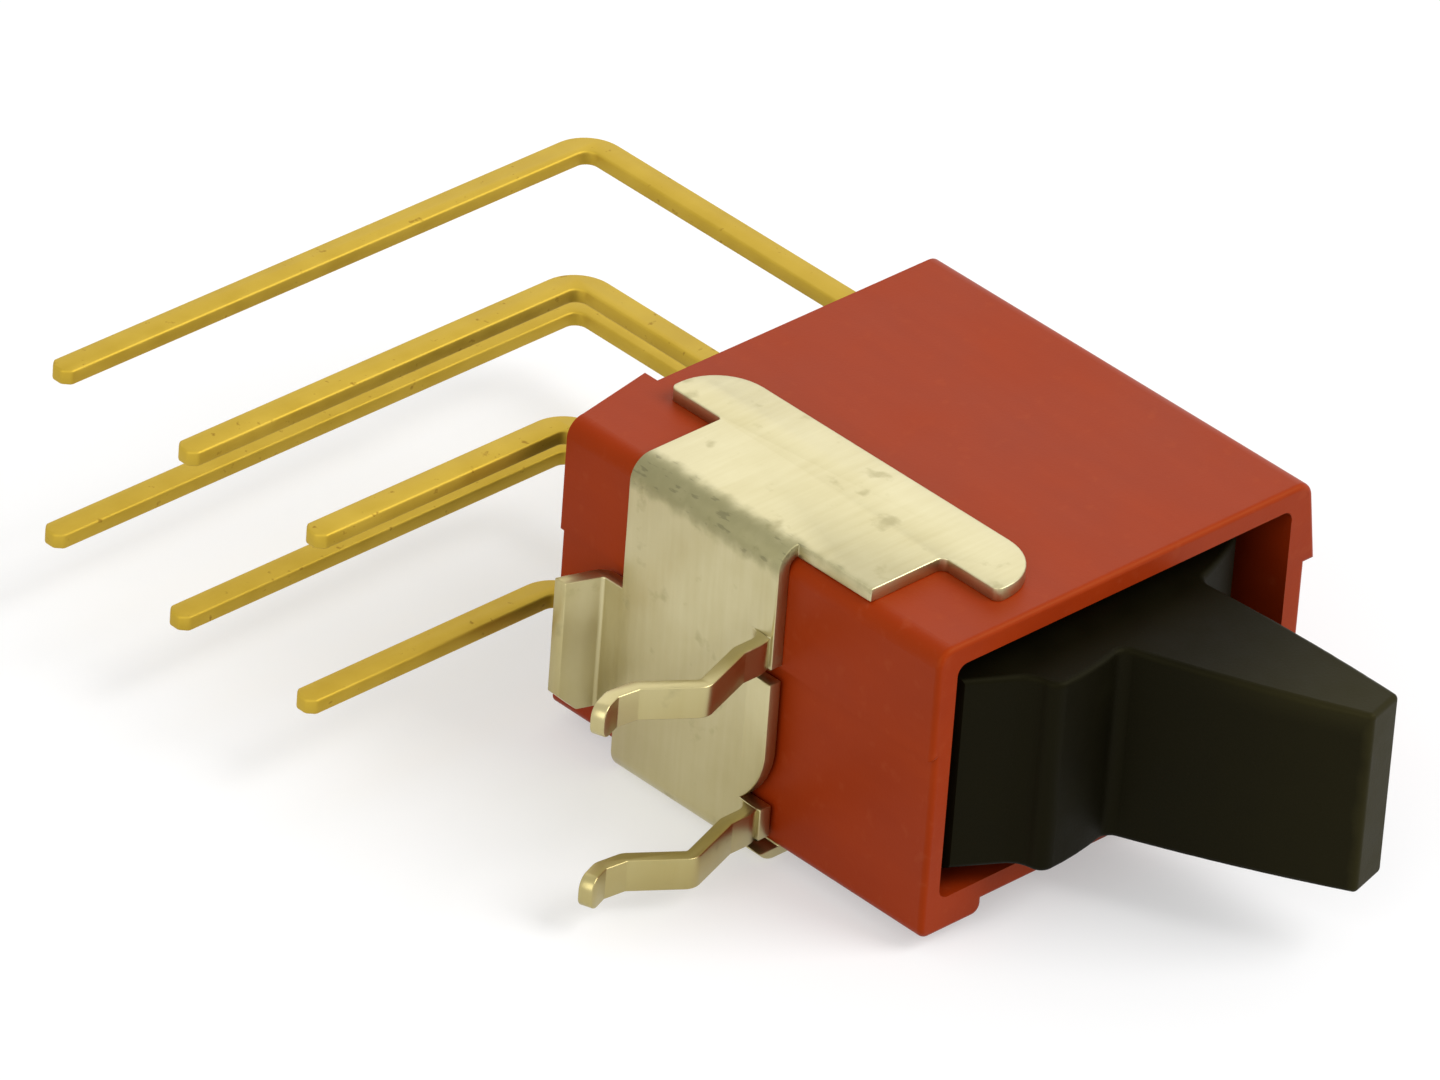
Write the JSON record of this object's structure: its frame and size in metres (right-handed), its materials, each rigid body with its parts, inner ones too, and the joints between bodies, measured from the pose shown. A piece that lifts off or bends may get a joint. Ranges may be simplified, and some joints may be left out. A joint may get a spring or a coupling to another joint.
{
  "type": "rocker switch",
  "caption": "Miniature paddle rocker switch for a printed board, with right-angle gold terminals and a folded snap-in mounting bracket.",
  "frame": {"origin": "on the board-side face of the bracket's plate, at the middle of the housing's depth and height", "axes": "-X to the printed board, -Y to the paddle, +Y to the terminals' exit, +Z along the rocker's pivot axis, away from the side the switch lies on"},
  "size_m": [0.0199, 0.0315, 0.0092],
  "materials": {
    "red_moulding": "fine satin moulding, red-orange",
    "black_moulding": "fine matt moulding, black",
    "sealing_resin": "poured resin, dark brown",
    "tinned_sheet": "tin plate over steel, slightly yellow",
    "gold_plate": "gold plate over copper alloy",
    "silver_contact": "silver contact face",
    "plunger_brass": "turned brass",
    "spring_steel": "bright drawn wire"
  },
  "bodies": {
    "frame": {"housing": "red_moulding", "terminal_base": "black_moulding", "epoxy_seal": "sealing_resin", "mounting_bracket": "tinned_sheet", "terminal_upper_far": "gold_plate", "terminal_upper_middle": "gold_plate", "terminal_upper_near": "gold_plate", "terminal_lower_far": "gold_plate", "terminal_lower_middle": "gold_plate", "terminal_lower_near": "gold_plate", "contact_pad_upper_far": "silver_contact", "contact_pad_upper_near": "silver_contact", "contact_pad_lower_far": "silver_contact", "contact_pad_lower_near": "silver_contact"},
    "paddle": {"rocker": "black_moulding", "plunger_spring_upper": "spring_steel", "plunger_spring_lower": "spring_steel"},
    "blade_upper": {"contact_blade_upper": "silver_contact"},
    "blade_lower": {"contact_blade_lower": "silver_contact"},
    "pin_upper": {"plunger_upper": "plunger_brass"},
    "pin_lower": {"plunger_lower": "plunger_brass"}
  },
  "joints": [
    {"name": "rocker_tilt", "type": "hinge", "parent": "frame", "child": "paddle", "pos_m": [0.00673, -0.0049, 0], "axis": [0, 0, -1], "range_deg": [0, 30]},
    {"name": "blade_tilt_upper", "type": "hinge", "parent": "frame", "child": "blade_upper", "pos_m": [0.00673, 0.00121, 0.0016], "axis": [0, 0, -1], "range_deg": [-9, 0]},
    {"name": "blade_tilt_lower", "type": "hinge", "parent": "frame", "child": "blade_lower", "pos_m": [0.00673, 0.00121, -0.0016], "axis": [0, 0, -1], "range_deg": [-9, 0]},
    {"name": "plunger_slide_upper", "type": "slide", "parent": "paddle", "child": "pin_upper", "axis": [0.2588, -0.9659, 0], "range_m": [0, 0.0004], "stiffness_N_per_m": 500, "springref_m": -0.0005, "deforming": ["plunger_spring_upper"]},
    {"name": "plunger_slide_lower", "type": "slide", "parent": "paddle", "child": "pin_lower", "axis": [0.2588, -0.9659, 0], "range_m": [0, 0.0004], "stiffness_N_per_m": 500, "springref_m": -0.0005, "deforming": ["plunger_spring_lower"]}
  ],
  "couplings": [
    {"joint": "blade_tilt_upper", "follows": "rocker_tilt", "ratio": -0.3},
    {"joint": "blade_tilt_lower", "follows": "rocker_tilt", "ratio": -0.3}
  ]
}
